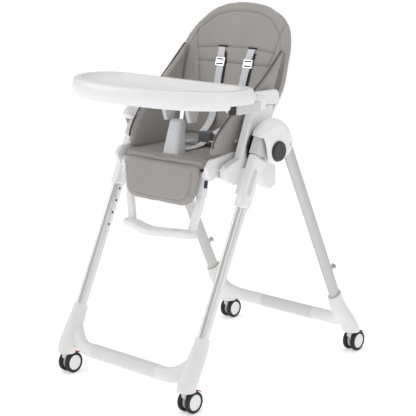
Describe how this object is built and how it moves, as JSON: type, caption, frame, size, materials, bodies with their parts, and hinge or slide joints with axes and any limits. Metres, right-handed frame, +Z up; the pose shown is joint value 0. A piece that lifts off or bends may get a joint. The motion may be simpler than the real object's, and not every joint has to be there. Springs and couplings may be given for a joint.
{
  "type": "folding baby high chair",
  "caption": "Folding high chair on crossed tube frames with casters, sliding height-adjustable padded seat, reclining back, tilting leg rest and removable tray.",
  "frame": {"origin": "on the floor under the middle of the chair's box", "axes": "+X to the child's left, -Y the way the child faces, +Z up"},
  "size_m": [0.6, 0.7724, 1.0356],
  "materials": {
    "legs_front": "satin",
    "legs_rear": "matt",
    "shell": "gloss",
    "feet": "gloss",
    "grey_plastic": "satin",
    "dark_plastic": "satin",
    "buttons": "gloss",
    "cover": "smooth",
    "webbing": "woven",
    "buckle": "satin",
    "bright_metal": "polished",
    "dark_steel": "satin",
    "tyre": "matt",
    "brake": "satin",
    "liner": "satin"
  },
  "bodies": {
    "front_frame": {"front_leg_right": "legs_front", "front_leg_left": "legs_front", "front_foot_right": "feet", "front_foot_left": "feet", "front_crossbar": "legs_front", "leg_knuckle_right": "grey_plastic", "leg_knuckle_left": "grey_plastic"},
    "rear_frame": {"rear_leg_right": "legs_rear", "rear_leg_left": "legs_rear", "rear_foot_right": "feet", "rear_foot_left": "feet", "rear_crossbar": "legs_rear", "rear_frame_fittings": "bright_metal", "hinge_housing_right": "shell", "hinge_housing_left": "shell"},
    "seat": {"carriage_right": "shell", "carriage_left": "shell", "height_triggers": "grey_plastic", "side_panel_right": "shell", "side_panel_left": "shell", "armrest_right": "shell", "armrest_left": "shell", "seat_shell": "shell", "seat_cross_tube": "dark_steel", "seat_pad": "cover", "crotch_post": "grey_plastic", "lap_harness": "webbing", "harness_buckle": "buckle"},
    "backrest": {"backrest_shell": "shell", "backrest_pad": "cover", "shoulder_straps": "webbing", "strap_adjusters": "bright_metal"},
    "recline_latch": {"recline_handle": "grey_plastic"},
    "leg_rest": {"calf_panel": "shell", "calf_pad": "cover", "foot_bar_buttons": "dark_plastic"},
    "foot_rest": {"foot_bar": "shell"},
    "tray_body": {"tray": "shell", "tray_bracket": "grey_plastic"},
    "tray_liner": {"tray_insert": "liner"},
    "button_right": {"fold_button_right": "buttons"},
    "release_right": {"tray_release_right": "grey_plastic"},
    "button_left": {"fold_button_left": "buttons"},
    "release_left": {"tray_release_left": "grey_plastic"},
    "caster_front_right": {"caster_fork_front_right": "grey_plastic"},
    "wheels_front_right": {"caster_tyres_front_right": "tyre", "caster_hubs_front_right": "shell"},
    "brake_front_right": {"brake_pedal_front_right": "brake"},
    "caster_front_left": {"caster_fork_front_left": "grey_plastic"},
    "wheels_front_left": {"caster_tyres_front_left": "tyre", "caster_hubs_front_left": "shell"},
    "brake_front_left": {"brake_pedal_front_left": "brake"},
    "caster_rear_right": {"caster_fork_rear_right": "grey_plastic"},
    "wheels_rear_right": {"caster_tyres_rear_right": "tyre", "caster_hubs_rear_right": "shell"},
    "brake_rear_right": {"brake_pedal_rear_right": "brake"},
    "caster_rear_left": {"caster_fork_rear_left": "grey_plastic"},
    "wheels_rear_left": {"caster_tyres_rear_left": "tyre", "caster_hubs_rear_left": "shell"},
    "brake_rear_left": {"brake_pedal_rear_left": "brake"}
  },
  "joints": [
    {"name": "fold", "type": "hinge", "parent": "front_frame", "child": "rear_frame", "pos_m": [0, -0.0408, 0.658], "axis": [-1, 0, 0], "range_deg": [0, 46]},
    {"name": "seat_height", "type": "slide", "parent": "front_frame", "child": "seat", "axis": [0, -0.421, -0.907], "range_m": [0, 0.216]},
    {"name": "recline", "type": "hinge", "parent": "seat", "child": "backrest", "pos_m": [0, 0.026, 0.632], "axis": [-1, 0, 0], "range_deg": [0, 45]},
    {"name": "recline_squeeze", "type": "slide", "parent": "backrest", "child": "recline_latch", "axis": [0, 0.284, 0.9588], "range_m": [0, 0.0035], "stiffness_N_per_m": 600, "springref_m": -0.001},
    {"name": "leg_rest_tilt", "type": "hinge", "parent": "seat", "child": "leg_rest", "pos_m": [0, -0.19, 0.6], "axis": [-1, 0, 0], "range_deg": [0, 75]},
    {"name": "foot_bar_reach", "type": "slide", "parent": "leg_rest", "child": "foot_rest", "axis": [0, -0.1564, -0.9877], "range_m": [0, 0.035]},
    {"name": "tray_slide", "type": "slide", "parent": "seat", "child": "tray_body", "axis": [0, -1, 0], "range_m": [0, 0.08]},
    {"name": "tray_liner_lift", "type": "slide", "parent": "tray_body", "child": "tray_liner", "axis": [0, 0, 1], "range_m": [0, 0.12]},
    {"name": "fold_button_press_right", "type": "slide", "parent": "rear_frame", "child": "button_right", "axis": [-1, 0, 0], "range_m": [0, 0.004], "stiffness_N_per_m": 500, "springref_m": -0.001},
    {"name": "tray_release_squeeze_right", "type": "slide", "parent": "tray_body", "child": "release_right", "axis": [-1, 0, 0], "range_m": [0, 0.0025], "stiffness_N_per_m": 800, "springref_m": -0.001},
    {"name": "fold_button_press_left", "type": "slide", "parent": "rear_frame", "child": "button_left", "axis": [1, 0, 0], "range_m": [0, 0.004], "stiffness_N_per_m": 500, "springref_m": -0.001},
    {"name": "tray_release_squeeze_left", "type": "slide", "parent": "tray_body", "child": "release_left", "axis": [1, 0, 0], "range_m": [0, 0.0025], "stiffness_N_per_m": 800, "springref_m": -0.001},
    {"name": "caster_swivel_front_right", "type": "hinge", "parent": "front_frame", "child": "caster_front_right", "pos_m": [0.234, -0.36125, 0.05], "axis": [0, 0, 1], "continuous": true},
    {"name": "wheel_spin_front_right", "type": "hinge", "parent": "caster_front_right", "child": "wheels_front_right", "pos_m": [0.234, -0.34675, 0.03], "axis": [1, 0, 0], "continuous": true},
    {"name": "brake_press_front_right", "type": "hinge", "parent": "caster_front_right", "child": "brake_front_right", "pos_m": [0.234, -0.33315, 0.035], "axis": [-1, 0, 0], "range_deg": [0, 12]},
    {"name": "caster_swivel_front_left", "type": "hinge", "parent": "front_frame", "child": "caster_front_left", "pos_m": [-0.234, -0.36125, 0.05], "axis": [0, 0, 1], "continuous": true},
    {"name": "wheel_spin_front_left", "type": "hinge", "parent": "caster_front_left", "child": "wheels_front_left", "pos_m": [-0.234, -0.34675, 0.03], "axis": [1, 0, 0], "continuous": true},
    {"name": "brake_press_front_left", "type": "hinge", "parent": "caster_front_left", "child": "brake_front_left", "pos_m": [-0.234, -0.33315, 0.035], "axis": [-1, 0, 0], "range_deg": [0, 12]},
    {"name": "caster_swivel_rear_right", "type": "hinge", "parent": "rear_frame", "child": "caster_rear_right", "pos_m": [0.246, 0.34175, 0.05], "axis": [0, 0, 1], "continuous": true},
    {"name": "wheel_spin_rear_right", "type": "hinge", "parent": "caster_rear_right", "child": "wheels_rear_right", "pos_m": [0.246, 0.35625, 0.03], "axis": [1, 0, 0], "continuous": true},
    {"name": "brake_press_rear_right", "type": "hinge", "parent": "caster_rear_right", "child": "brake_rear_right", "pos_m": [0.246, 0.36985, 0.035], "axis": [-1, 0, 0], "range_deg": [0, 12]},
    {"name": "caster_swivel_rear_left", "type": "hinge", "parent": "rear_frame", "child": "caster_rear_left", "pos_m": [-0.246, 0.34175, 0.05], "axis": [0, 0, 1], "continuous": true},
    {"name": "wheel_spin_rear_left", "type": "hinge", "parent": "caster_rear_left", "child": "wheels_rear_left", "pos_m": [-0.246, 0.35625, 0.03], "axis": [1, 0, 0], "continuous": true},
    {"name": "brake_press_rear_left", "type": "hinge", "parent": "caster_rear_left", "child": "brake_rear_left", "pos_m": [-0.246, 0.36985, 0.035], "axis": [-1, 0, 0], "range_deg": [0, 12]}
  ]
}
